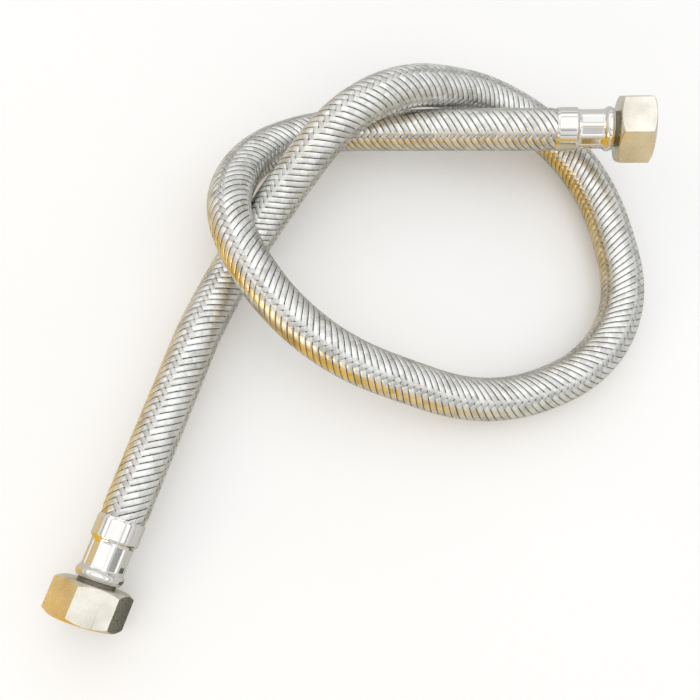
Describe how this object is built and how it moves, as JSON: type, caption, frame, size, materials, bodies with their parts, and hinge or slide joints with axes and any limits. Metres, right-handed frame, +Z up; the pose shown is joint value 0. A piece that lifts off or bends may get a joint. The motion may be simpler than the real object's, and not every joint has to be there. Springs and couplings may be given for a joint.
{
  "type": "braided water supply line",
  "caption": "Flexible braided water supply line tied in a loose overhand knot, with a crimped ferrule and a swivel hexagon nut at each end.",
  "frame": {"origin": "the start of end A's thread, on the swivel nut's axis", "axes": "+X from end A into the hose, +Z up from the surface the hose lies on"},
  "size_m": [0.2416, 0.1699, 0.0488],
  "materials": {
    "braid": "woven stainless wire, bright",
    "liner": "black EPDM",
    "nut": "satin nickel plate over brass",
    "stem": "dull nickel plate over turned brass",
    "ferrule": "polished stainless, crimped",
    "gasket": "moulded black rubber"
  },
  "bodies": {
    "knot": {"knot_braid": "braid", "knot_liner": "liner"},
    "leg_a_link_1": {"leg_a_braid_1": "braid", "leg_a_liner_1": "liner"},
    "leg_a_link_2": {"leg_a_braid_2": "braid", "leg_a_liner_2": "liner"},
    "leg_a_link_3": {"leg_a_braid_3": "braid", "leg_a_liner_3": "liner"},
    "leg_a_link_4": {"leg_a_braid_4": "braid", "leg_a_liner_4": "liner"},
    "leg_a_link_5": {"leg_a_braid_5": "braid", "leg_a_liner_5": "liner"},
    "end_a": {"end_a_stem": "stem", "end_a_ferrule": "ferrule", "end_a_braid": "braid", "end_a_liner": "liner"},
    "gasket_a": {"end_a_gasket": "gasket"},
    "nut_a": {"end_a_nut": "nut"},
    "leg_b_link_1": {"leg_b_braid_1": "braid", "leg_b_liner_1": "liner"},
    "leg_b_link_2": {"leg_b_braid_2": "braid", "leg_b_liner_2": "liner"},
    "leg_b_link_3": {"leg_b_braid_3": "braid", "leg_b_liner_3": "liner"},
    "end_b": {"end_b_stem": "stem", "end_b_ferrule": "ferrule", "end_b_braid": "braid", "end_b_liner": "liner"},
    "gasket_b": {"end_b_gasket": "gasket"},
    "nut_b": {"end_b_nut": "nut"}
  },
  "joints": [
    {"name": "leg_a_swing_1", "type": "hinge", "parent": "knot", "child": "leg_a_link_1", "pos_m": [0.096, 0, 0], "axis": [0, 0, 1], "range_deg": [-12, 12], "stiffness_Nm_per_rad": 0.25},
    {"name": "leg_a_lift_1", "type": "hinge", "parent": "leg_a_link_1", "child": "leg_a_link_2", "pos_m": [0.08396, 0, 0], "axis": [0, 1, 0], "range_deg": [0, 10], "stiffness_Nm_per_rad": 0.25},
    {"name": "leg_a_swing_2", "type": "hinge", "parent": "leg_a_link_2", "child": "leg_a_link_3", "pos_m": [0.07192, 0, 0], "axis": [0, 0, 1], "range_deg": [-12, 12], "stiffness_Nm_per_rad": 0.25},
    {"name": "leg_a_lift_2", "type": "hinge", "parent": "leg_a_link_3", "child": "leg_a_link_4", "pos_m": [0.05988, 0, 0], "axis": [0, 1, 0], "range_deg": [0, 10], "stiffness_Nm_per_rad": 0.25},
    {"name": "leg_a_swing_3", "type": "hinge", "parent": "leg_a_link_4", "child": "leg_a_link_5", "pos_m": [0.04784, 0, 0], "axis": [0, 0, 1], "range_deg": [-12, 12], "stiffness_Nm_per_rad": 0.25},
    {"name": "leg_a_lift_3", "type": "hinge", "parent": "leg_a_link_5", "child": "end_a", "pos_m": [0.0358, 0, 0], "axis": [0, 1, 0], "range_deg": [0, 10], "stiffness_Nm_per_rad": 0.25},
    {"name": "nut_a_slide", "type": "slide", "parent": "end_a", "child": "gasket_a", "axis": [1, 0, 0], "range_m": [0, 0.001]},
    {"name": "nut_a_spin", "type": "hinge", "parent": "gasket_a", "child": "nut_a", "pos_m": [0.008, 0, 0], "axis": [-1, 0, 0], "continuous": true},
    {"name": "leg_b_lift_1", "type": "hinge", "parent": "knot", "child": "leg_b_link_1", "pos_m": [0.21224, -0.06848, 0.00871], "axis": [-0.9705, -0.2412, 0], "range_deg": [0, 12], "stiffness_Nm_per_rad": 0.25},
    {"name": "leg_b_swing_1", "type": "hinge", "parent": "leg_b_link_1", "child": "leg_b_link_2", "pos_m": [0.21469, -0.07833, 0.011], "axis": [-0.0532, 0.2143, 0.9753], "range_deg": [-8, 8], "stiffness_Nm_per_rad": 0.25},
    {"name": "leg_b_lift_2", "type": "hinge", "parent": "leg_b_link_2", "child": "leg_b_link_3", "pos_m": [0.21713, -0.08817, 0.0133], "axis": [-0.9705, -0.2412, 0], "range_deg": [0, 12], "stiffness_Nm_per_rad": 0.25},
    {"name": "leg_b_swing_2", "type": "hinge", "parent": "leg_b_link_3", "child": "end_b", "pos_m": [0.21958, -0.09801, 0.0156], "axis": [-0.0532, 0.2143, 0.9753], "range_deg": [-8, 8], "stiffness_Nm_per_rad": 0.25},
    {"name": "nut_b_slide", "type": "slide", "parent": "end_b", "child": "gasket_b", "axis": [-0.2352, 0.9465, -0.2208], "range_m": [0, 0.001]},
    {"name": "nut_b_spin", "type": "hinge", "parent": "gasket_b", "child": "nut_b", "pos_m": [0.22612, -0.12433, 0.02173], "axis": [0.2352, -0.9465, 0.2208], "continuous": true}
  ],
  "couplings": [
    {"joint": "leg_a_swing_2", "follows": "leg_a_swing_1", "ratio": 1},
    {"joint": "leg_a_lift_2", "follows": "leg_a_lift_1", "ratio": 1},
    {"joint": "leg_a_swing_3", "follows": "leg_a_swing_1", "ratio": 1},
    {"joint": "leg_a_lift_3", "follows": "leg_a_lift_1", "ratio": 1},
    {"joint": "leg_b_lift_2", "follows": "leg_b_lift_1", "ratio": 1},
    {"joint": "leg_b_swing_2", "follows": "leg_b_swing_1", "ratio": 1}
  ]
}
